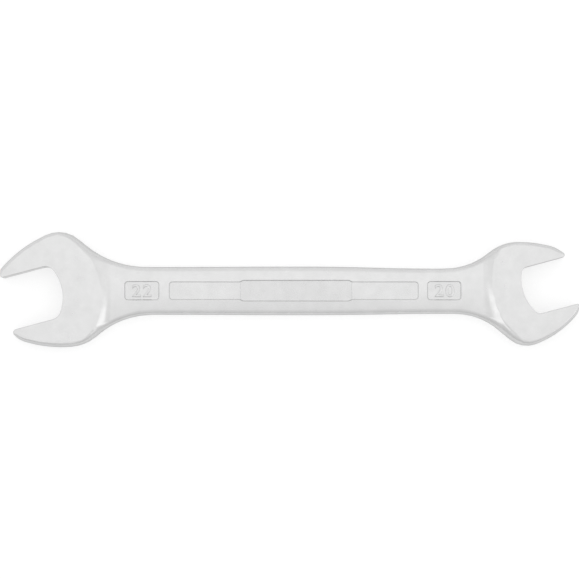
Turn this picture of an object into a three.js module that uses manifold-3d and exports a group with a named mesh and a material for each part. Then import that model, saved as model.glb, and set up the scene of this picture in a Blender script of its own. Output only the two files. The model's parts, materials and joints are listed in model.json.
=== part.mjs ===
// Double open end wrench, 22 mm by 20 mm, drop forged in one piece of chrome vanadium steel.
// Lengths are in millimetres and angles in degrees. The wrench lies flat with +Z up and its shank
// along X, the 22 mm jaw towards -X and the 20 mm jaw towards +X.
//
// Each head is drawn once, in its own frame, as if it pointed to +X with its longer jaw towards -Y.
// Its outline is a chain of tangent arcs, as on a die maker's drawing: nose, tip, flank and cheek,
// then a straight and a fillet down to the shank. The 22 mm head is that frame turned half round.

import * as THREE from 'three';
import { mergeGeometries, mergeVertices } from 'three/addons/utils/BufferGeometryUtils.js';
import Module from 'manifold-3d';

const wasm = await Module();
wasm.setup();

// Sizes of the whole wrench
const head_thickness = 8.5;
const shank_thickness = 5.8;
const jaw_angle = 15;
const jaw_clearance = 0.1;

// Sizes of the 22 mm head. A nut's centre is placed from the middle of the wrench and from the
// centre line of the shank. Reach, cheek and throat sizes are measured from the nut's centre,
// along the jaw's opening and across it.
const head_22 = {
  nut_size: 22,
  nut_place: 107.4,
  nut_offset: 2.9,
  throat_depth: 13.3,
  throat_radius: 18.3,
  throat_shift: 1.3,
  corner_radius: 4.5,
  face_back: 29.2,
  face_radius: 30.8,
  neck_rim: 2.8,
  long_jaw: {
    reach: 10.3, nose_radius: 1.3, tip_radius: 3.2, tip_angle: -12, flank_radius: 54,
    cheek_back: 14.7, cheek_rise: 11.8, cheek_radius: 12.3,
    neck_angle: 39, neck_radius: 40, shank_half: 10,
  },
  short_jaw: {
    reach: 11.1, nose_radius: 1.6, tip_radius: 9.5, tip_angle: 28.6, flank_radius: 53,
    cheek_back: 14, cheek_rise: 6.6, cheek_radius: 17.7,
    neck_angle: 38.5, neck_radius: 34.3, shank_half: 10,
  },
};

// Sizes of the 20 mm head, in the same terms
const head_20 = {
  nut_size: 20,
  nut_place: 108.8,
  nut_offset: 2.1,
  throat_depth: 12.1,
  throat_radius: 18.9,
  throat_shift: -1.2,
  corner_radius: 2.7,
  face_back: 24.3,
  face_radius: 35.8,
  neck_rim: 3.6,
  long_jaw: {
    reach: 9.2, nose_radius: 1.1, tip_radius: 6.9, tip_angle: 19, flank_radius: 40.8,
    cheek_back: 13.3, cheek_rise: 10.8, cheek_radius: 11.1,
    neck_angle: 39.5, neck_radius: 28, shank_half: 9.6,
  },
  short_jaw: {
    reach: 8.7, nose_radius: 1.2, tip_radius: 11.6, tip_angle: 30, flank_radius: 54.7,
    cheek_back: 13.2, cheek_rise: 3.6, cheek_radius: 18.3,
    neck_angle: 36, neck_radius: 28.5, shank_half: 9.3,
  },
};

// Shank: its half width swells a little between the necks, and its faces are crowned across
const shank_swell_place = 5;
const shank_swell_half = 10.15;
const crown_middle = 0.7;
const crown_ends = 0.3;
const crown_fade_share = 0.25;
const shank_handle_share = 0.5;

// Ramp from the shank's face up to the flat face of a head: nearly all of it is the fillet at its
// foot, so it is steepest along the crisp edge of the flat face
const ramp_run = 4.6;
const ramp_fillet_share = 0.9;

// Rounded rims of the forging: how far they reach in over a face and down a side, the small break
// on the broached jaw faces, and the parting line. In the necks they widen to each head's neck rim.
const head_rim = 1.6;
const head_rim_height = 2.8;
const shank_rim = 2.1;
const shank_rim_height = 2.1;
const rim_wall_share = 0.9;
const edge_break = 0.3;
const rim_run_out = 5;
const parting_bulge = 0.15;

// Recessed panels, the same on both faces: a size panel near each head and a long one between
const size_panel_22_length = 14.6;
const size_panel_20_length = 14.3;
const size_panel_width = 8.1;
const size_panel_22_place = -61.5;
const size_panel_20_place = 64.2;
const long_panel_start = -50.3;
const long_panel_end = 53.6;
const long_panel_width = 7.8;
const panel_depth = 0.55;
const panel_corner = 1.5;
const deep_panel_start = -21.1;
const deep_panel_end = 26.3;
const deep_panel_width = 9.3;
const deep_panel_depth = 0.75;
const deep_panel_shoulder = 1.7;
const panel_draft_angle = 38;
const cut_overrun = 2;

// Fineness of the facets
const nose_to_cheek_steps = 24;
const nose_grading = 1.7;
const neck_steps = 9;
const shank_steps = 28;
const face_columns = 10;
const rim_steps = 6;
const corner_steps = 6;
const throat_steps = 12;
const panel_corner_steps = 4;
const halving_rounds = 40;

const radians = THREE.MathUtils.degToRad;

// A point of a head, out from the nut's centre along the opening and across towards one jaw.
// Side is 1 for the short jaw and -1 for the long one.
function headPoint(head, side, out, across) {
  const along = new THREE.Vector2(Math.cos(radians(jaw_angle)), Math.sin(radians(jaw_angle)));
  return new THREE.Vector2(
    head.nut_place + out * along.x - side * across * along.y,
    head.nut_offset + out * along.y + side * across * along.x,
  );
}

// The point at a distance from one point, towards another
function towards(start, end, distance) {
  return end.clone().sub(start).setLength(distance).add(start);
}

// Where two circles meet, to the left of the way from the first centre to the second if side is 1
function circlesMeet(center_a, radius_a, center_b, radius_b, side) {
  const way = center_b.clone().sub(center_a);
  const distance = way.length();
  const along = (radius_a ** 2 - radius_b ** 2 + distance ** 2) / (2 * distance);
  const aside = side * Math.sqrt(Math.max(0, radius_a ** 2 - along ** 2));
  way.normalize();
  return new THREE.Vector2(
    center_a.x + way.x * along - way.y * aside,
    center_a.y + way.y * along + way.x * aside,
  );
}

function halfOpening(head) {
  return (head.nut_size + jaw_clearance) / 2;
}

// The tangent arcs of one jaw's outer edge, from its face round the nose and back to the shank
function jawArcs(head, jaw, side) {
  const half = halfOpening(head);
  const nose_out = jaw.reach - jaw.nose_radius;
  const nose = headPoint(head, side, nose_out, half + jaw.nose_radius);
  const lean = jaw.tip_radius - jaw.nose_radius;
  const tip = headPoint(head, side,
    nose_out - lean * Math.cos(radians(jaw.tip_angle)),
    half + jaw.nose_radius - lean * Math.sin(radians(jaw.tip_angle)));
  const cheek = headPoint(head, side, -jaw.cheek_back, jaw.cheek_rise);
  const flank = circlesMeet(cheek, jaw.flank_radius - jaw.cheek_radius,
    tip, jaw.flank_radius - jaw.tip_radius, -side);
  const nose_end = towards(tip, nose, jaw.tip_radius);
  const tip_end = towards(flank, tip, jaw.flank_radius);
  const flank_end = towards(flank, cheek, jaw.flank_radius);

  // The straight leaves the cheek at the neck's angle, and the fillet turns it along the shank
  const slope = radians(jaw.neck_angle);
  const outward = new THREE.Vector2(-Math.sin(slope), side * Math.cos(slope));
  const back = new THREE.Vector2(-Math.cos(slope), -side * Math.sin(slope));
  const cheek_end = cheek.clone().addScaledVector(outward, jaw.cheek_radius);
  const drop = side * cheek_end.y - jaw.shank_half;
  const neck_radius = Math.min(jaw.neck_radius, drop / (1 - Math.cos(slope)));
  const straight = (drop - neck_radius * (1 - Math.cos(slope))) / Math.sin(slope);
  const neck_start = cheek_end.clone().addScaledVector(back, straight);
  const neck = neck_start.clone().addScaledVector(outward, neck_radius);
  const neck_end = new THREE.Vector2(neck.x, side * jaw.shank_half);

  return [
    { center: nose, start: headPoint(head, side, nose_out, half), end: nose_end, convex: true },
    { center: tip, start: nose_end, end: tip_end, convex: true },
    { center: flank, start: tip_end, end: flank_end, convex: true },
    { center: cheek, start: flank_end, end: cheek_end, convex: true },
    { center: neck, start: neck_start, end: neck_end, convex: false },
  ];
}

function addArc(path, arc, turn, clockwise) {
  const center = arc.center.clone().multiplyScalar(turn);
  const start = arc.start.clone().multiplyScalar(turn).sub(center);
  const end = arc.end.clone().multiplyScalar(turn).sub(center);
  path.absarc(center.x, center.y, start.length(), start.angle(), end.angle(), clockwise);
}

// One long edge of the wrench from the nose of the 22 mm head to the nose of the 20 mm head.
// Side is 1 for the edge towards +Y, where the 22 mm head has its long jaw.
function wrenchEdge(side) {
  const jaw_22 = side > 0 ? head_22.long_jaw : head_22.short_jaw;
  const jaw_20 = side > 0 ? head_20.short_jaw : head_20.long_jaw;
  const path = new THREE.Path();
  for (const arc of jawArcs(head_22, jaw_22, -side)) {
    addArc(path, arc, -1, arc.convex === side > 0);
  }
  const arcs_20 = jawArcs(head_20, jaw_20, side).reverse()
    .map((arc) => ({ ...arc, start: arc.end, end: arc.start }));
  const swell = new THREE.Vector2(shank_swell_place, side * shank_swell_half);
  for (const goal of [swell, arcs_20[0].start]) {
    const from = path.currentPoint.clone();
    const handle = (goal.x - from.x) * shank_handle_share;
    path.bezierCurveTo(from.x + handle, from.y, goal.x - handle, goal.y, goal.x, goal.y);
  }
  for (const arc of arcs_20) {
    addArc(path, arc, 1, arc.convex === side > 0);
  }
  return path;
}

// Centre of the arc that ends a head's flat face, in the head's own frame
function faceCenter(head) {
  return headPoint(head, 1, head.face_radius - head.face_back, 0);
}

function rampFoot(head) {
  return faceCenter(head).x - head.face_radius - ramp_run;
}

// How far a place has risen from the shank's face, at 0, to the flat face of a head, at 1
function rampRise(head, turn, x, y) {
  const center = faceCenter(head);
  const sideways = turn * y - center.y;
  const crest = center.x - Math.sqrt(Math.max(0, head.face_radius ** 2 - sideways ** 2));
  const foot = rampFoot(head);
  const way = THREE.MathUtils.clamp((turn * x - foot) / (crest - foot), 0, 1);
  const fillet = ramp_fillet_share;
  const rise = way < fillet ? way ** 2 / (2 * fillet) : way - fillet / 2;
  return rise / (1 - fillet / 2);
}

function headRise(x, y) {
  return x < 0 ? rampRise(head_22, -1, x, y) : rampRise(head_20, 1, x, y);
}

// Height of the upper face above the middle plane. The shank is crowned across, most at its middle.
function faceHeight(x, y) {
  const end = x < 0 ? rampFoot(head_22) : rampFoot(head_20);
  const along = Math.min(1, Math.abs(x) / end);
  const crown = crown_middle + (crown_ends - crown_middle) * along ** 2;
  const across = (y / shank_swell_half) ** 2;
  const fade = (1 + crown_fade_share) / (1 + crown_fade_share * across);
  const shank = shank_thickness / 2 - crown * across * fade;
  return shank + (head_thickness / 2 - shank) * headRise(x, y);
}

// A place on the outline, with its outward direction and the sizes of its rounded rim. The rim
// is widest halfway up the ramp, grows from a small break at the nose, and leaves some side wall.
function edgeStation(path, side, share) {
  const point = path.getPoint(share);
  const tangent = path.getTangent(share);
  const to_nose = Math.min(share, 1 - share) * path.getLength();
  const growth = THREE.MathUtils.smoothstep(to_nose, 0, rim_run_out);
  const rise = headRise(point.x, point.y);
  const { lerp } = THREE.MathUtils;
  const neck_rim = point.x < 0 ? head_22.neck_rim : head_20.neck_rim;
  const swell = (neck_rim - (shank_rim + head_rim) / 2) * 4 * rise * (1 - rise);
  const wall = faceHeight(point.x, point.y) * rim_wall_share;
  const height = Math.min(lerp(shank_rim_height, head_rim_height, rise), wall);
  return {
    point,
    normal: new THREE.Vector2(-side * tangent.y, side * tangent.x),
    rim: lerp(edge_break, lerp(shank_rim, head_rim, rise) + swell, growth),
    rim_height: lerp(edge_break, height, growth),
    bulge: parting_bulge * growth,
  };
}

// Column of points at a place on the outline, from the middle plane up and over the rounded rim
function rimColumn(station) {
  const { point, normal, rim, rim_height, bulge } = station;
  const column = [new THREE.Vector3(point.x, point.y, 0)];
  for (let step = 0; step <= rim_steps; step += 1) {
    const angle = (Math.PI / 2) * (step / rim_steps);
    const inset = bulge + rim * (1 - Math.cos(angle));
    const place = point.clone().addScaledVector(normal, -inset);
    const height = faceHeight(place.x, place.y) - rim_height * (1 - Math.sin(angle));
    column.push(new THREE.Vector3(place.x, place.y, height));
  }
  return column;
}

// The share of a path at which a test turns from false to true
function turningShare(test, low, high) {
  for (let round = 0; round < halving_rounds; round += 1) {
    const middle = (low + high) / 2;
    if (test(middle)) high = middle;
    else low = middle;
  }
  return high;
}

// Columns along one long edge: over each jaw from its nose to where its flat face ends, and the
// rows between the two flat faces, at the same steps on both edges
function edgeColumns(side) {
  const path = wrenchEdge(side);
  const station = (share) => edgeStation(path, side, share);
  const beyondFace = (head, turn, share) => {
    const { point, normal, rim, bulge } = station(share);
    const inner = point.clone().addScaledVector(normal, -rim - bulge).multiplyScalar(turn);
    return inner.distanceTo(faceCenter(head)) > head.face_radius;
  };
  const foot_22 = turningShare((s) => path.getPoint(s).x > -rampFoot(head_22), 0, 1);
  const foot_20 = turningShare((s) => path.getPoint(s).x > rampFoot(head_20), 0, 1);
  const face_22 = turningShare((s) => beyondFace(head_22, -1, s), 0, foot_22);
  const face_20 = turningShare((s) => !beyondFace(head_20, 1, s), foot_20, 1);

  const spread = (from, to, steps, grading = 1) => Array.from({ length: steps },
    (_, step) => station(from + (to - from) * (step / steps) ** grading));
  const shank = Array.from({ length: shank_steps }, (_, step) => station(
    foot_22 + (foot_20 - foot_22) * (1 - Math.cos(Math.PI * (step / shank_steps))) / 2));
  const rows = [
    ...spread(face_22, foot_22, neck_steps),
    ...shank,
    ...spread(foot_20, face_20, neck_steps),
    station(face_20),
  ];
  return {
    jaw_22: spread(0, face_22, nose_to_cheek_steps, nose_grading).map(rimColumn),
    rows: rows.map(rimColumn),
    jaw_20: spread(1, face_20, nose_to_cheek_steps, nose_grading).map(rimColumn).reverse(),
  };
}

// Columns round a jaw's opening from its short jaw to its long one: corner, throat and corner.
// The two straight jaw faces lie between these columns and those of the noses.
function mouthColumns(head, turn) {
  const half = halfOpening(head);
  const throat_out = head.throat_radius - head.throat_depth;
  const throat = headPoint(head, -1, throat_out, head.throat_shift);
  const corner = (side) => {
    const across = half - head.corner_radius;
    const sideways = across + side * head.throat_shift;
    const reach = head.throat_radius - head.corner_radius;
    const out = throat_out - Math.sqrt(Math.max(0, reach ** 2 - sideways ** 2));
    return {
      center: headPoint(head, side, out, across),
      face: headPoint(head, side, out, half),
    };
  };
  const short = corner(1);
  const long = corner(-1);
  const short_end = towards(throat, short.center, head.throat_radius);
  const long_end = towards(throat, long.center, head.throat_radius);
  const arcs = [
    { center: short.center, start: short.face, end: short_end, steps: corner_steps },
    { center: throat, start: short_end, end: long_end, steps: throat_steps },
    { center: long.center, start: long_end, end: long.face, steps: corner_steps },
  ];
  const stations = [];
  for (const { center, start, end, steps } of arcs) {
    const from = start.clone().sub(center);
    const sweep = end.clone().sub(center).angleTo(from);
    for (let step = stations.length ? 1 : 0; step <= steps; step += 1) {
      const spoke = from.clone().rotateAround(new THREE.Vector2(), sweep * (step / steps));
      stations.push({
        point: center.clone().add(spoke).multiplyScalar(turn),
        normal: spoke.clone().normalize().multiplyScalar(-turn),
        rim: edge_break,
        rim_height: edge_break,
        bulge: 0,
      });
    }
  }
  return stations.map(rimColumn);
}

// The part of a sheet of points between two rows and the two edges that join them
function coonsRow(first, last, way, low_edge, high_edge, row, steps) {
  return first.map((start, column) => {
    const share = column / face_columns;
    const end = last[column];
    const straight = (a, b) => new THREE.Vector2(a.x + (b.x - a.x) * way, a.y + (b.y - a.y) * way);
    const place = straight(start, end);
    const low = straight(low_edge[0], low_edge[steps]);
    const high = straight(high_edge[0], high_edge[steps]);
    place.x += (low_edge[row].x - low.x) * (1 - share) + (high_edge[row].x - high.x) * share;
    place.y += (low_edge[row].y - low.y) * (1 - share) + (high_edge[row].y - high.y) * share;
    return place;
  });
}

// Lifts a row of plan points to the face, with its ends on the rims
function liftRow(row, low, high) {
  return row.map((place, column) => {
    if (column === 0) return low;
    if (column === face_columns) return high;
    return new THREE.Vector3(place.x, place.y, faceHeight(place.x, place.y));
  });
}

// Plan points of the row where a head's flat face ends, on its arc from one edge to the other
function crestRow(head, turn, low, high) {
  const center = faceCenter(head).multiplyScalar(turn);
  const from = new THREE.Vector2(low.x, low.y).sub(center);
  const to = new THREE.Vector2(high.x, high.y).sub(center);
  const sweep = Math.atan2(from.cross(to), from.dot(to));
  return Array.from({ length: face_columns + 1 }, (_, column) => from.clone()
    .rotateAround(new THREE.Vector2(), sweep * (column / face_columns)).add(center));
}

function straightRow(low, high) {
  return Array.from({ length: face_columns + 1 }, (_, column) => new THREE.Vector2(low.x, low.y)
    .lerp(new THREE.Vector2(high.x, high.y), column / face_columns));
}

// Rows across the wrench from the end of one flat face to the end of the other: bowed at the
// heads, and straight along the shank
function faceRows(low, high) {
  const count = low.length - 1;
  const foot_22 = neck_steps;
  const foot_20 = count - neck_steps;
  const plan = low.map((_, row) => straightRow(low[row], high[row]));
  const bow = (crest, foot, from) => {
    for (let row = 0; row <= neck_steps; row += 1) {
      const low_edge = low.slice(from, from + neck_steps + 1);
      const high_edge = high.slice(from, from + neck_steps + 1);
      const way = row / neck_steps;
      plan[from + row] = coonsRow(crest, foot, way, low_edge, high_edge, row, neck_steps);
    }
  };
  bow(crestRow(head_22, -1, low[0], high[0]), plan[foot_22], 0);
  bow(plan[foot_20], crestRow(head_20, 1, low[count], high[count]), foot_20);
  return plan.map((row, index) => liftRow(row, low[index], high[index]));
}

function quad(corners, a, b, c, d) {
  corners.push(a, b, c, a, c, d);
}

// The rounded rim and side wall, from one column to the next
function addRim(corners, columns) {
  columns.forEach((column, index) => {
    const next = columns[(index + 1) % columns.length];
    for (let step = 0; step <= rim_steps; step += 1) {
      quad(corners, column[step], column[step + 1], next[step + 1], next[step]);
    }
  });
}

// A head's flat face inside the rim, the opening and the row where the face ends
function addFlatFace(corners, border) {
  const plan = border.map((corner) => new THREE.Vector2(corner.x, corner.y));
  if (THREE.ShapeUtils.isClockWise(plan)) {
    plan.reverse();
    border.reverse();
  }
  for (const triangle of THREE.ShapeUtils.triangulateShape(plan, [])) {
    corners.push(...triangle.map((index) => border[index]));
  }
}

function surface(corners) {
  return new THREE.BufferGeometry().setFromPoints(corners);
}

// The same surface seen in the middle plane, with its faces turned to point out again
function mirrored(corners) {
  const turned = [];
  for (let first = 0; first < corners.length; first += 3) {
    const [a, b, c] = corners.slice(first, first + 3)
      .map((corner) => new THREE.Vector3(corner.x, corner.y, -corner.z));
    turned.push(a, c, b);
  }
  return turned;
}

// The forging without its panels
function forging() {
  const upper = edgeColumns(1);
  const lower = edgeColumns(-1);
  const mouth_22 = mouthColumns(head_22, -1);
  const mouth_20 = mouthColumns(head_20, 1);
  const rimTop = (columns) => columns.map((column) => column[rim_steps + 1]);
  const corners = [];
  addRim(corners, [
    ...upper.jaw_22, ...upper.rows, ...upper.jaw_20, ...mouth_20,
    ...[...lower.jaw_22, ...lower.rows, ...lower.jaw_20].reverse(), ...mouth_22,
  ]);
  const rows = faceRows(rimTop(lower.rows), rimTop(upper.rows));
  for (let row = 0; row + 1 < rows.length; row += 1) {
    for (let column = 0; column < face_columns; column += 1) {
      quad(corners, rows[row][column], rows[row + 1][column],
        rows[row + 1][column + 1], rows[row][column + 1]);
    }
  }
  addFlatFace(corners, [
    ...rimTop(upper.jaw_22), ...[...rows[0]].reverse(), ...rimTop(lower.jaw_22).reverse(),
    ...rimTop(mouth_22),
  ]);
  addFlatFace(corners, [
    ...rows[rows.length - 1], ...rimTop(upper.jaw_20), ...rimTop(mouth_20),
    ...rimTop(lower.jaw_20).reverse(),
  ]);
  return mergeGeometries([surface(corners), surface(mirrored(corners))]);
}

// A panel's outline with round corners
function panelShape(start, end, width, corner) {
  const half = width / 2;
  const shape = new THREE.Shape();
  shape.absarc(end - corner, half - corner, corner, 0, Math.PI / 2, false);
  shape.absarc(start + corner, half - corner, corner, Math.PI / 2, Math.PI, false);
  shape.absarc(start + corner, corner - half, corner, Math.PI, Math.PI * 1.5, false);
  shape.absarc(end - corner, corner - half, corner, Math.PI * 1.5, Math.PI * 2, false);
  return shape;
}

// The deep panel's outline, which widens from the long panel over sloped shoulders
function deepPanelShape() {
  const neck = long_panel_width / 2;
  const half = deep_panel_width / 2;
  return new THREE.Shape([
    new THREE.Vector2(deep_panel_start, -neck),
    new THREE.Vector2(deep_panel_start + deep_panel_shoulder, -half),
    new THREE.Vector2(deep_panel_end - deep_panel_shoulder, -half),
    new THREE.Vector2(deep_panel_end, -neck),
    new THREE.Vector2(deep_panel_end, neck),
    new THREE.Vector2(deep_panel_end - deep_panel_shoulder, half),
    new THREE.Vector2(deep_panel_start + deep_panel_shoulder, half),
    new THREE.Vector2(deep_panel_start, neck),
  ]);
}

// What the die leaves out for one panel: drafted walls down to a flat floor. The walls go on past
// the crowned face, so they meet it at their draft all the way round.
function panelCut(shape, depth) {
  const draft_slope = Math.tan(radians(panel_draft_angle));
  const cut = new THREE.ExtrudeGeometry(shape, {
    depth: cut_overrun, bevelThickness: depth + cut_overrun,
    bevelSize: (depth + cut_overrun) * draft_slope, bevelOffset: -depth * draft_slope,
    bevelSegments: 1, curveSegments: panel_corner_steps,
  });
  cut.translate(0, 0, shank_thickness / 2 + cut_overrun);
  return cut;
}

function solidOf(geometry) {
  const bare = new THREE.BufferGeometry();
  bare.setAttribute('position', geometry.getAttribute('position'));
  if (geometry.index) bare.setIndex(geometry.index);
  const merged = mergeVertices(bare);
  return new wasm.Manifold(new wasm.Mesh({
    numProp: 3,
    vertProperties: new Float32Array(merged.attributes.position.array),
    triVerts: new Uint32Array(merged.index.array),
  }));
}

function geometryOf(solid) {
  const { numProp, vertProperties, triVerts } = solid.getMesh();
  const geometry = new THREE.BufferGeometry();
  geometry.setAttribute('position', new THREE.BufferAttribute(vertProperties, numProp));
  geometry.setIndex(new THREE.BufferAttribute(triVerts, 1));
  geometry.computeVertexNormals();
  return geometry;
}

function wrenchGeometry() {
  const sizePanel = (place, length) => panelShape(place - length / 2, place + length / 2,
    size_panel_width, panel_corner);
  const cuts = [
    panelCut(sizePanel(size_panel_22_place, size_panel_22_length), panel_depth),
    panelCut(sizePanel(size_panel_20_place, size_panel_20_length), panel_depth),
    panelCut(panelShape(long_panel_start, long_panel_end, long_panel_width, panel_corner),
      panel_depth),
    panelCut(deepPanelShape(), deep_panel_depth),
  ];
  let solid = solidOf(forging());
  for (const cut of cuts) {
    solid = solid.subtract(solidOf(cut));
    solid = solid.subtract(solidOf(cut.clone().rotateX(Math.PI)));
  }
  return geometryOf(solid);
}

function satinChrome() {
  return new THREE.MeshStandardMaterial({ color: 0xd9d9d7, roughness: 0.4, metalness: 1 });
}

// The origin is the middle of the wrench's outline, on the surface that it lies on
function wrenchBody() {
  const geometry = wrenchGeometry();
  geometry.computeBoundingBox();
  const center = geometry.boundingBox.getCenter(new THREE.Vector3());
  const mesh = new THREE.Mesh(geometry, satinChrome());
  mesh.name = 'wrench_body';
  mesh.position.set(-center.x, -center.y, head_thickness / 2);
  return mesh;
}

const wrench = new THREE.Group();
wrench.add(wrenchBody());

export default wrench;
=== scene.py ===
# %% [markdown]
# # A double open end wrench, 22 mm by 20 mm
# The real tool is one drop forging of chrome vanadium steel. It is trimmed, broached at both jaws,
# blasted to an even matte and plated with satin chrome. So nearly all of its look is in three
# things: the soft forged edges, the recessed panels with their raised size digits, and a metal
# that is neither a mirror nor a paint.
#
# This lesson loads the engineer's model of the wrench, gives it a smooth skin, adds the digits,
# and lights it like a catalogue photograph, taken from almost straight above.

import json
import math

import bmesh
import bpy
from mathutils import Matrix, Vector

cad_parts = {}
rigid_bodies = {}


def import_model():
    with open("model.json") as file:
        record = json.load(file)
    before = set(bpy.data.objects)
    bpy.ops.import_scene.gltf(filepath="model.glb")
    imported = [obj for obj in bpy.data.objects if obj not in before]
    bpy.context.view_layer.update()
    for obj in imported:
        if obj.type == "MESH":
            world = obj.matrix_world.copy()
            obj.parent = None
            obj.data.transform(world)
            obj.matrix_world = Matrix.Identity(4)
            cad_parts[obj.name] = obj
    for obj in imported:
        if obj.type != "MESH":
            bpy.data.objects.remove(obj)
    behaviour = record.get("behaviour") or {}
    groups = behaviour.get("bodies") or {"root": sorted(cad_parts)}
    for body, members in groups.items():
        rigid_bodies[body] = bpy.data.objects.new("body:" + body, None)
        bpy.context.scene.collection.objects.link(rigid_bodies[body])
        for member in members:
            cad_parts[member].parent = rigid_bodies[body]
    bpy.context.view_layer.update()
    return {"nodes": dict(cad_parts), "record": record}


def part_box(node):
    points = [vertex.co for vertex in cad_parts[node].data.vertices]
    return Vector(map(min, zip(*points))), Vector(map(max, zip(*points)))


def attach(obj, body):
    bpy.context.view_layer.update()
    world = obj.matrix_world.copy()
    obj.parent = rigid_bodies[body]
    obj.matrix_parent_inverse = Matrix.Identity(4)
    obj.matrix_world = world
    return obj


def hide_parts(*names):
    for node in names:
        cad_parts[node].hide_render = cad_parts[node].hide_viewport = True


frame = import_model()
wrench_low, wrench_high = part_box("wrench_body")
wrench_size = wrench_high - wrench_low
wrench_middle = (wrench_low + wrench_high) / 2
MM = 0.001
print("wrench in mm:", [round(length / MM, 2) for length in wrench_size])

# %% [markdown]
# ## The forging's skin
# The engineer's model comes as loose triangles, each with its own flat shade. We weld a copy, so
# that light can run smoothly from one face to the next, and mark the edges that stay crisp: the
# rims of the panels and the broached jaws. An edge counts as crisp where its two faces turn by
# more than the crease angle. The rounded rims turn by less from facet to facet, so they look
# round.

# %% Weld a copy of the forging
weld_distance = 0.004 * MM
crease_angle = math.radians(26)


def welded_copy(node):
    skin = bmesh.new()
    skin.from_mesh(node.data)
    bmesh.ops.remove_doubles(skin, verts=skin.verts, dist=weld_distance)
    return skin


def mark_creases(shape, angle):
    for face in shape.faces:
        face.smooth = True
    for edge in shape.edges:
        edge.smooth = edge.calc_face_angle(0) < angle


skin = welded_copy(frame["nodes"]["wrench_body"])
mark_creases(skin, crease_angle)
print("welded skin:", len(skin.verts), "points,", len(skin.faces), "faces")

# %% [markdown]
# ## Marks for the material
# A forged jaw is too rough to fit a nut, so a broach is pulled through it and leaves two parallel
# cut faces, smoother than the rest. The panels are the opposite: nothing ever rubs them, so they
# keep the finish of the die. The material has to know both, and it also paints shade into the
# panels and light onto their walls. The record's mounts say where the broached faces are. A
# panel's floor is level and lies at a known depth below the flat heads, and its walls are the
# faces that share the floor's corners. The middle of the long panel is deeper than the rest, and
# the material paints it a shade darker, as painted shade. We write a 1 on those faces, in three
# attributes that the material reads later.

# %% Mark the broached faces and the panels
plane_slack = 0.02 * MM
facing_share = 0.999
panel_floor_depth = 1.9 * MM
deep_floor_depth = 2.1 * MM


def mark_faces(name, find_faces):
    layer = skin.faces.layers.float.new(name)
    chosen = find_faces()
    for face in chosen:
        face[layer] = 1
    print(name, "faces:", len(chosen))


def on_jaw_plane(face):
    for mount in frame["record"]["mounts"]:
        facing = Vector(mount["axis"])
        off_plane = abs((face.calc_center_median() - Vector(mount["pos_m"])).dot(facing))
        turned_alike = face.normal.dot(facing) > facing_share
        if mount["name"].startswith("jaw") and off_plane < plane_slack and turned_alike:
            return True
    return False


def on_floor(face, floor_depth):
    depth = wrench_size.z / 2 - abs(face.calc_center_median().z - wrench_middle.z)
    return abs(depth - floor_depth) < plane_slack and abs(face.normal.z) > facing_share


def broached_faces():
    return [face for face in skin.faces if on_jaw_plane(face)]


def deep_floor_faces():
    return [face for face in skin.faces if on_floor(face, deep_floor_depth)]


def panel_faces():
    floors = [face for face in skin.faces if on_floor(face, panel_floor_depth)]
    corners = {corner for face in floors + deep_floor_faces() for corner in face.verts}
    return {face for corner in corners for face in corner.link_faces}


mark_faces("broached", broached_faces)
mark_faces("recessed", panel_faces)
mark_faces("deepest", deep_floor_faces)

# %% [markdown]
# ## From shape to object
# So far the skin is only a shape in memory. To be seen, it is written to a mesh, and the mesh is
# put in an object, which takes the place of the engineer's node. A Weighted Normal modifier lets
# the large faces decide the shading where they meet small ones, so that the flat heads look flat
# right up to their rims. It keeps the crisp edges that we marked.


# %% Make it an object
def add_object(name, data):
    piece = bpy.data.objects.new(name, data)
    bpy.context.scene.collection.objects.link(piece)
    return piece


def add_mesh_object(name, shape):
    mesh = bpy.data.meshes.new(name)
    shape.to_mesh(mesh)
    shape.free()
    return add_object(name, mesh)


forging = add_mesh_object("wrench_forging", skin)
weighted = forging.modifiers.new("Weighted normals", "WEIGHTED_NORMAL")
weighted.keep_sharp = True
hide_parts("wrench_body")
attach(forging, "root")
print("made", forging.name, "with", len(forging.data.polygons), "faces")

# %% [markdown]
# ## Raised size digits
# The die has the digits sunk into it with sloping walls, or the forging wouldn't come out of it.
# So they stand up from the floor of each size panel on sloping sides. A text object has that
# section ready made: extrude gives its height, and the bevel slopes its sides. The bevel also
# widens the strokes, so the offset draws them in again, all but the swell that we want. Digits a
# few thousandths of a metre high fill badly, so the text is made at one metre for each
# millimetre, and its mesh is then scaled down and moved to its panel.

# %% Make a pair of digits
digit_height = 5.25
digit_spread_share = 1.06
digit_spacing_share = 1.18
digit_slope_width = 0.3
digit_slope_steps = 1
digit_swell = 0.16
digit_half_core = 0.13
font_height_share = 0.73


def digits_shape(name, number):
    text = bpy.data.curves.new(name, "FONT")
    text.body = number
    text.align_x = "CENTER"
    text.size = digit_height / font_height_share
    text.space_character = digit_spacing_share
    text.extrude = digit_half_core
    text.bevel_depth = digit_slope_width
    text.bevel_resolution = digit_slope_steps
    text.offset = digit_swell - digit_slope_width
    holder = add_object(name, text)
    bpy.context.view_layer.update()
    mesh = bpy.data.meshes.new_from_object(holder)
    bpy.data.objects.remove(holder)
    shape = bmesh.new()
    shape.from_mesh(mesh)
    bpy.data.meshes.remove(mesh)
    bmesh.ops.remove_doubles(shape, verts=shape.verts, dist=weld_distance / MM)
    low = [min(vert.co[axis] for vert in shape.verts) for axis in range(3)]
    high = [max(vert.co[axis] for vert in shape.verts) for axis in range(3)]
    middle = (Vector(low) + Vector(high)) / 2
    bmesh.ops.translate(shape, verts=shape.verts, vec=(-middle.x, -middle.y, -high[2]))
    print(name, "in mm:", [round(end - start, 2) for start, end in zip(low, high)])
    return shape


# %% [markdown]
# Each size panel carries its digits on both sides of the wrench. The under side of the forging is
# the mirror image of the upper one, but mirrored digits would read backwards. So the under pair is
# turned over about the long axis, and reads the right way when the wrench is turned over in the
# hand.

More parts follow.
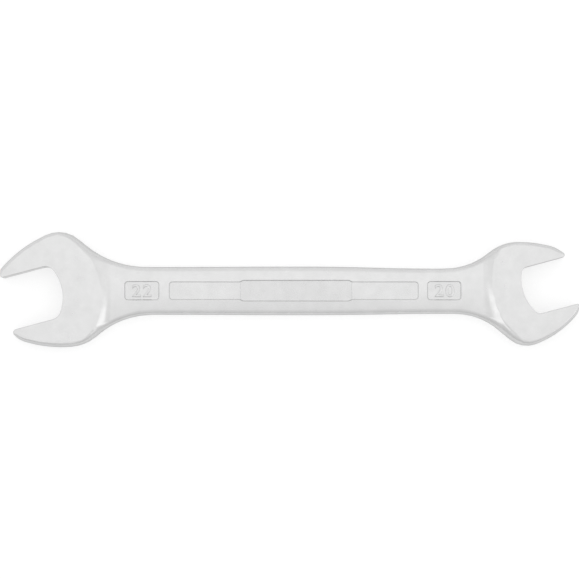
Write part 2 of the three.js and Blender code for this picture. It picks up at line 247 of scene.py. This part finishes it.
# %% Stand them on the panels
panel_row_y = -0.57 * MM
size_panels = {"22": -61.41 * MM, "20": 64.45 * MM}
digit_relief = 0.42 * MM

for number, panel_x in size_panels.items():
    for side, turn in (("upper", 0), ("under", math.pi)):
        name = f"digits_{number}_{side}"
        shape = digits_shape(name, number)
        bmesh.ops.scale(shape, verts=shape.verts, vec=(digit_spread_share * MM, MM, MM))
        relief_top = wrench_size.z / 2 - panel_floor_depth + digit_relief
        bmesh.ops.translate(shape, verts=shape.verts, vec=(0, 0, relief_top))
        bmesh.ops.rotate(shape, verts=shape.verts, matrix=Matrix.Rotation(turn, 3, "X"))
        bmesh.ops.translate(shape, verts=shape.verts, vec=(panel_x, panel_row_y, wrench_middle.z))
        mark_creases(shape, crease_angle)
        digits = add_mesh_object(name, shape)
        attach(digits, "root")

# %% [markdown]
# ## Helpers for materials
# A material is a tree of nodes, and building one in code is mostly making a node, setting its
# sockets and linking them. These few helpers do just that. A socket is fed either by another
# node's socket or by a plain value. Noise swings about its middle, so the helper takes that
# middle away, and a pattern can then brighten one place as much as it darkens the next.

# %% Node helpers
noise_middle = 0.5


def add_node(tree, kind, **settings):
    node = tree.nodes.new(kind)
    for name, value in settings.items():
        setattr(node, name, value)
    return node


def feed(tree, node, sources):
    for name, source in sources.items():
        if isinstance(source, bpy.types.NodeSocket):
            tree.links.new(source, node.inputs[name])
        else:
            node.inputs[name].default_value = source


def calculate(tree, operation, *sources):
    node = add_node(tree, "ShaderNodeMath", operation=operation)
    feed(tree, node, dict(enumerate(sources)))
    return node.outputs[0]


def fade(tree, value, start, end):
    node = add_node(tree, "ShaderNodeMapRange", interpolation_type="SMOOTHSTEP")
    feed(tree, node, {"Value": value, "From Min": start, "From Max": end})
    return node.outputs["Result"]


def noise(tree, place, scale, detail):
    node = add_node(tree, "ShaderNodeTexNoise")
    feed(tree, node, {"Vector": place, "Scale": scale, "Detail": detail})
    return calculate(tree, "SUBTRACT", node.outputs[0], noise_middle)


# %% Group helpers
def new_group(name, inputs, outputs):
    group = bpy.data.node_groups.new(name, "ShaderNodeTree")
    for way, sockets in (("INPUT", inputs), ("OUTPUT", outputs)):
        for socket, kind in sockets.items():
            group.interface.new_socket(socket, in_out=way, socket_type=f"NodeSocket{kind}")
    print("group", name, "gives", ", ".join(outputs))
    return group, add_node(group, "NodeGroupInput").outputs, add_node(group, "NodeGroupOutput")


def use_group(tree, group, sources):
    node = add_node(tree, "ShaderNodeGroup", node_tree=group)
    feed(tree, node, sources)
    return node.outputs


# %% [markdown]
# ## What blasting and plating leave behind
# Blasting with fine beads dents the steel into a grain of about a seventh of a millimetre. The
# eye sees it only from close by, as a fine sparkle, so it is a height for the bump and a faint
# fleck in the colour. The plating on top is never quite even: over a few millimetres it is a
# little hazier here and brighter there.

# %% Blast grain and uneven plating
soft_detail = 2
rich_detail = 3

blast_grain, given, result = new_group(
    "blast_grain", {"Place": "Vector", "Grain": "Float"}, {"Height": "Float", "Fleck": "Float"}
)
fleck_grains = 5
fine_scale = calculate(blast_grain, "DIVIDE", 1, given["Grain"])
fleck_scale = calculate(blast_grain, "DIVIDE", fine_scale, fleck_grains)
feed(blast_grain, result, {
    "Height": noise(blast_grain, given["Place"], fine_scale, soft_detail),
    "Fleck": noise(blast_grain, given["Place"], fleck_scale, rich_detail),
})

uneven_plating, given, result = new_group(
    "uneven_plating", {"Place": "Vector", "Patch": "Float"}, {"Shade": "Float", "Haze": "Float"}
)
haze_patches = 0.6
shade_scale = calculate(uneven_plating, "DIVIDE", 1, given["Patch"])
haze_scale = calculate(uneven_plating, "DIVIDE", shade_scale, haze_patches)
feed(uneven_plating, result, {
    "Shade": noise(uneven_plating, given["Place"], shade_scale, rich_detail),
    "Haze": noise(uneven_plating, given["Place"], haze_scale, soft_detail),
})

# %% [markdown]
# ## Steep sides
# The plating bath and the blast reach the broad faces of a wrench best, and its steep sides come
# out rougher. The material also darkens their grey, as painted shade for the dark rims. The group
# measures how far a surface is turned away from level, from the normal in the object's own
# coordinates, and fades between two such tilts. The low walls of the panels are steep too, but
# the material treats them by themselves: it makes them rougher and paints them lighter, as
# painted light in the recesses.

# %% Steep sides
steep_sides, given, result = new_group(
    "steep_sides",
    {"Facing": "Vector", "Level share": "Float", "Steep share": "Float"},
    {"Mask": "Float"},
)
facing_parts = add_node(steep_sides, "ShaderNodeSeparateXYZ")
feed(steep_sides, facing_parts, {0: given["Facing"]})
levelness = calculate(steep_sides, "ABSOLUTE", facing_parts.outputs["Z"])
feed(steep_sides, result, {
    "Mask": fade(steep_sides, levelness, given["Level share"], given["Steep share"]),
})

# %% [markdown]
# ## Tool marks
# A broach leaves fine straight lines along its way through the jaw, and trimming the flash leaves
# long lines round the wrench's edge. Both are the same noise, stretched along the way that the
# tool moved: the group divides the place by the size of a mark along each axis, so that the noise
# itself can keep a scale of 1.

# %% Tool marks
tool_marks, given, result = new_group(
    "tool_marks", {"Place": "Vector", "Mark size": "Vector"}, {"Height": "Float"}
)
stretched = add_node(tool_marks, "ShaderNodeVectorMath", operation="DIVIDE")
feed(tool_marks, stretched, {0: given["Place"], 1: given["Mark size"]})
feed(tool_marks, result, {"Height": noise(tool_marks, stretched.outputs[0], 1, soft_detail)})

# %% [markdown]
# ## Rubbed and highlighted edges
# Tools are tumbled after forging, and hands and nuts do the rest: the crisp edges end up a little
# smoother and brighter than the faces beside them. The brightening is partly this wear and partly
# a painted highlight along the edges. A Bevel node gives the normal that the surface would have
# if its edges were rounded off. Where that differs from the real normal, there is an edge.

# %% Rubbed and highlighted edges
rubbed_and_highlight_edges, given, result = new_group(
    "rubbed_and_highlight_edges", {"Facing": "Vector", "Reach": "Float"}, {"Mask": "Float"}
)
edge_turn_share = 0.12
rounding_rays = 6
rounded = add_node(rubbed_and_highlight_edges, "ShaderNodeBevel", samples=rounding_rays)
feed(rubbed_and_highlight_edges, rounded, {"Radius": given["Reach"]})
likeness = add_node(rubbed_and_highlight_edges, "ShaderNodeVectorMath", operation="DOT_PRODUCT")
feed(rubbed_and_highlight_edges, likeness, {0: rounded.outputs[0], 1: given["Facing"]})
turned = calculate(rubbed_and_highlight_edges, "SUBTRACT", 1, likeness.outputs["Value"])
feed(rubbed_and_highlight_edges, result, {"Mask": fade(rubbed_and_highlight_edges, turned, 0, edge_turn_share)})

# %% [markdown]
# ## Satin chrome
# Chrome is a metal of its own clear grey, and satin chrome differs from a mirror only in its
# roughness. One recipe makes the finish of the forging and of the digits, each with its own
# values: the digits' edges are rubbed more and get more painted highlight, and they have no
# broached or recessed faces. The tone multiplies the grey of the metal, the dullness is added to
# its roughness, and the height goes into one Bump node. Beside the real flecks and uneven plating,
# the tone holds painted shade on the steep sides and in the panels, painted light on the panel
# walls, and a painted highlight on the edges.

# %% Satin chrome
chrome_grey = 0.78
satin_roughness = 0.24
grazing_tint = 0.8
grain_size = 0.14 * MM
grain_depth = 0.0022 * MM
fleck_tone = 0.05
plating_patch = 5 * MM
plating_tone = 0.12
plating_haze = 0.15
# painted shade: the grey of the steep sides is darkened to draw the dark rims
steep_painted_shade = -0.22
steep_dullness = 0.06
# painted light: the grey of the panel walls is lifted against the shade of the recess
wall_painted_light = 0.1
wall_dullness = 0.14
level_share = 0.9
steep_share = 0.5
# painted shade: the grey in the panels is darkened a little, as shade in the recesses
recess_painted_shade = -0.01
recess_dullness = 0.02
# painted shade: the deep middle of the long panel is darkened more
deepest_painted_shade = -0.04
broach_dullness = -0.12
broach_mark_size = (0.08 * MM, 0.08 * MM, 3 * MM)
broach_mark_height = 2
trim_mark_size = (4 * MM, 4 * MM, 0.12 * MM)
trim_mark_height = 1
edge_reach = 0.25 * MM


def weighted_sum(tree, start, parts):
    total = start
    for source, weight in parts:
        total = calculate(tree, "MULTIPLY_ADD", source, weight, total)
    return total


def satin_chrome(name, edge_wear_and_highlight_tone, edge_dullness):
    material = bpy.data.materials.new(name)
    material.use_nodes = True
    tree = material.node_tree
    coordinates = add_node(tree, "ShaderNodeTexCoord").outputs
    place, facing = coordinates["Object"], coordinates["Normal"]
    broached = add_node(tree, "ShaderNodeAttribute", attribute_name="broached").outputs["Fac"]
    recessed = add_node(tree, "ShaderNodeAttribute", attribute_name="recessed").outputs["Fac"]
    deepest = add_node(tree, "ShaderNodeAttribute", attribute_name="deepest").outputs["Fac"]

    grain = use_group(tree, blast_grain, {"Place": place, "Grain": grain_size})
    plating = use_group(tree, uneven_plating, {"Place": place, "Patch": plating_patch})
    tilt_limits = {"Level share": level_share, "Steep share": steep_share}
    tilted = use_group(tree, steep_sides, {"Facing": facing, **tilt_limits})["Mask"]
    wall = calculate(tree, "MULTIPLY", tilted, recessed)
    steep = calculate(tree, "SUBTRACT", tilted, wall)
    edge = use_group(tree, rubbed_and_highlight_edges, {"Facing": facing, "Reach": edge_reach})["Mask"]
    broach = use_group(tree, tool_marks, {"Place": place, "Mark size": broach_mark_size})
    trim = use_group(tree, tool_marks, {"Place": place, "Mark size": trim_mark_size})

    tone = weighted_sum(tree, 1, [
        (grain["Fleck"], fleck_tone),
        (plating["Shade"], plating_tone),
        # painted shade on the steep sides
        (steep, steep_painted_shade),
        # painted light on the panel walls
        (wall, wall_painted_light),
        # painted shade in the panels and in their deep middle
        (recessed, recess_painted_shade),
        (deepest, deepest_painted_shade),
        # edges: partly rubbing wear, partly painted highlight
        (edge, edge_wear_and_highlight_tone),
    ])
    dullness = weighted_sum(tree, satin_roughness, [
        (plating["Haze"], plating_haze),
        (steep, steep_dullness),
        (wall, wall_dullness),
        (recessed, recess_dullness),
        (broached, broach_dullness),
        (edge, edge_dullness),
    ])
    broach_lines = calculate(tree, "MULTIPLY", broach["Height"], broached)
    trim_lines = calculate(tree, "MULTIPLY", trim["Height"], steep)
    height = weighted_sum(tree, grain["Height"], [
        (broach_lines, broach_mark_height),
        (trim_lines, trim_mark_height),
    ])
    grey = add_node(tree, "ShaderNodeHueSaturation")
    feed(tree, grey, {"Color": (chrome_grey, chrome_grey, chrome_grey, 1), "Value": tone})
    bump = add_node(tree, "ShaderNodeBump")
    feed(tree, bump, {"Height": height, "Distance": grain_depth})
    shader = tree.nodes["Principled BSDF"]
    shader.inputs["Metallic"].default_value = 1
    shader.inputs["Specular Tint"].default_value = (grazing_tint, grazing_tint, grazing_tint, 1)
    feed(tree, shader, {
        "Base Color": grey.outputs[0],
        "Roughness": dullness,
        "Normal": bump.outputs[0],
    })
    return material


# the edge tone is partly rubbing wear and partly a painted highlight
forging_chrome = satin_chrome("satin_chrome", edge_wear_and_highlight_tone=0.03, edge_dullness=-0.05)
digit_chrome = satin_chrome("satin_chrome_digits", edge_wear_and_highlight_tone=0.05, edge_dullness=-0.08)
for piece in bpy.context.scene.objects:
    if piece.type == "MESH" and piece.name.startswith(("wrench_forging", "digits")):
        piece.data.materials.clear()
        piece.data.materials.append(digit_chrome if "digits" in piece.name else forging_chrome)
        print(piece.name, "has", piece.data.materials[0].name)

# %% [markdown]
# ## Camera
# The photograph looks almost straight down on the wrench, from far away. The throats' arcs and
# the inner faces of the jaws show a tilt of about two degrees, and the even scale from end to end
# asks for a long lens. So the camera's distance follows from the lens and from the scale of the
# picture, and its aim from the place where the wrench's origin lies in the picture.

# %% Camera
picture_width = 579
pixels_per_mm = 2.3988
camera_lens = 135
camera_tilt = math.radians(2.3)
object_place_x = 289.57
object_place_y = 289.58

camera_data = bpy.data.cameras.new("camera")
camera_data.lens = camera_lens
camera = add_object("camera", camera_data)
bpy.context.scene.camera = camera
picture_middle = picture_width / 2
aim = Vector((
    (picture_middle - object_place_x) / pixels_per_mm * MM,
    (object_place_y - picture_middle) / pixels_per_mm * MM,
    wrench_middle.z,
))
field = picture_width / pixels_per_mm * MM
distance = field * camera_lens / camera_data.sensor_width
back = Vector((0, -math.sin(camera_tilt), math.cos(camera_tilt)))
camera.location = aim + back * distance
camera.rotation_mode = "QUATERNION"
camera.rotation_quaternion = (-back).to_track_quat("-Z", "Y")
print("camera in m:", [round(part, 4) for part in camera.location])

# %% [markdown]
# ## Lights
# Metal shows its surroundings more than its own colour, so lighting it means placing soft boxes
# and choosing how bright the room is in each direction. One large box hangs overhead, and two
# smaller ones stand in front at the left and at the right: they put the bright wedges on the ramps
# of the necks. Their places and levels were found by trial against the photograph. The brightness
# of a box is given as the radiance of its face, which is easier to judge than watts.


# %% Soft boxes
def soft_box(name, place, width, height, brightness):
    data = bpy.data.lights.new(name, "AREA")
    data.shape = "RECTANGLE"
    data.size = width
    data.size_y = height
    data.energy = brightness * math.pi * width * height
    light = add_object(name, data)
    light.location = place
    light.rotation_mode = "QUATERNION"
    light.rotation_quaternion = (-Vector(place)).to_track_quat("-Z", "Y")
    print(name, round(data.energy, 3), "W")


soft_box("overhead_softbox", (0, 0.4, 1.3), width=1.6, height=0.9, brightness=0.08)
soft_box("front_left_softbox", (-0.58, -0.35, 0.88), width=0.6, height=0.5, brightness=0.4)
soft_box("front_right_softbox", (0.67, -0.32, 0.83), width=0.5, height=0.46, brightness=0.42)

# %% [markdown]
# The room itself is a plain white world, but not equally bright in every direction, and the grey
# of each slope of the wrench is the brightness of the direction that it mirrors. Level faces
# mirror the ceiling, where the room is brightest. Two profiles dim the rest: one from left to
# right, with a soft gap between the ceiling and each side wall, which draws the foot of the ramps,
# and one from front to back, darkest in front, which draws the lower rims. A world shader reads
# the direction of a ray from the Generated coordinate, and each part of it runs from -1 to 1. A
# profile is a colour ramp with its stops at such places, squeezed to the ramp's own 0 to 1. These
# levels too were fitted to the greys of the photograph.

# %% The room
white = (1, 1, 1, 1)
ramp_half = 0.5
room_light = 1.015
left_to_right = {-0.75: 0.94, -0.28: 0.87, 0: 1, 0.28: 0.88, 0.75: 0.98}
front_to_back = {-0.9: 0.73, -0.45: 0.82, -0.17: 0.885, 0: 1, 0.5: 0.92}


def light_profile(tree, part, levels):
    node = add_node(tree, "ShaderNodeValToRGB")
    feed(tree, node, {"Fac": calculate(tree, "MULTIPLY_ADD", part, ramp_half, ramp_half)})
    stops = node.color_ramp.elements
    stops.remove(stops[0])
    for place, level in levels.items():
        stops.new(place * ramp_half + ramp_half).color = (level, level, level, 1)
    stops.remove(stops[-1])
    print("light profile:", [round(stop.position, 3) for stop in stops])
    return node.outputs["Color"]


world = bpy.data.worlds.new("studio")
world.use_nodes = True
bpy.context.scene.world = world
room = world.node_tree
ray_parts = add_node(room, "ShaderNodeSeparateXYZ")
feed(room, ray_parts, {0: add_node(room, "ShaderNodeTexCoord").outputs["Generated"]})
by_width = light_profile(room, ray_parts.outputs["X"], left_to_right)
by_length = light_profile(room, ray_parts.outputs["Y"], front_to_back)
both = calculate(room, "MULTIPLY", by_width, by_length)
background = room.nodes["Background"]
background.inputs["Color"].default_value = white
feed(room, background, {"Strength": calculate(room, "MULTIPLY", both, room_light)})

# %% [markdown]
# ## Floor
# The floor is a white sweep of paper. Its own grey is moderate, so that it throws little light
# back at the wrench, and it glows a little, but only for rays that come from the camera, from a
# reflection or through glass. So it is seen as white, the metal mirrors the same white, and the
# soft shadow stays.

# %% Floor
floor_half_width = 3
floor_grey = 0.5
floor_roughness = 0.9
floor_glow = 0.62

floor_shape = bmesh.new()
bmesh.ops.create_grid(floor_shape, x_segments=1, y_segments=1, size=floor_half_width)
floor = add_mesh_object("floor", floor_shape)
paper = bpy.data.materials.new("paper_floor")
paper.use_nodes = True
tree = paper.node_tree
ray = add_node(tree, "ShaderNodeLightPath").outputs
seen = calculate(tree, "MAXIMUM", ray["Is Camera Ray"], ray["Is Glossy Ray"])
seen = calculate(tree, "MAXIMUM", seen, ray["Is Transmission Ray"])
shader = tree.nodes["Principled BSDF"]
shader.inputs["Base Color"].default_value = (floor_grey, floor_grey, floor_grey, 1)
shader.inputs["Roughness"].default_value = floor_roughness
shader.inputs["Specular IOR Level"].default_value = 0
shader.inputs["Emission Color"].default_value = white
feed(tree, shader, {"Emission Strength": calculate(tree, "MULTIPLY", seen, floor_glow)})
floor.data.materials.append(paper)
print("floor:", 2 * floor_half_width, "m wide, of", paper.name)

# %% [markdown]
# ## Finish
# The Standard view shows colours as they are written, with no film look.

# %% Finish
bpy.context.scene.view_settings.view_transform = "Standard"
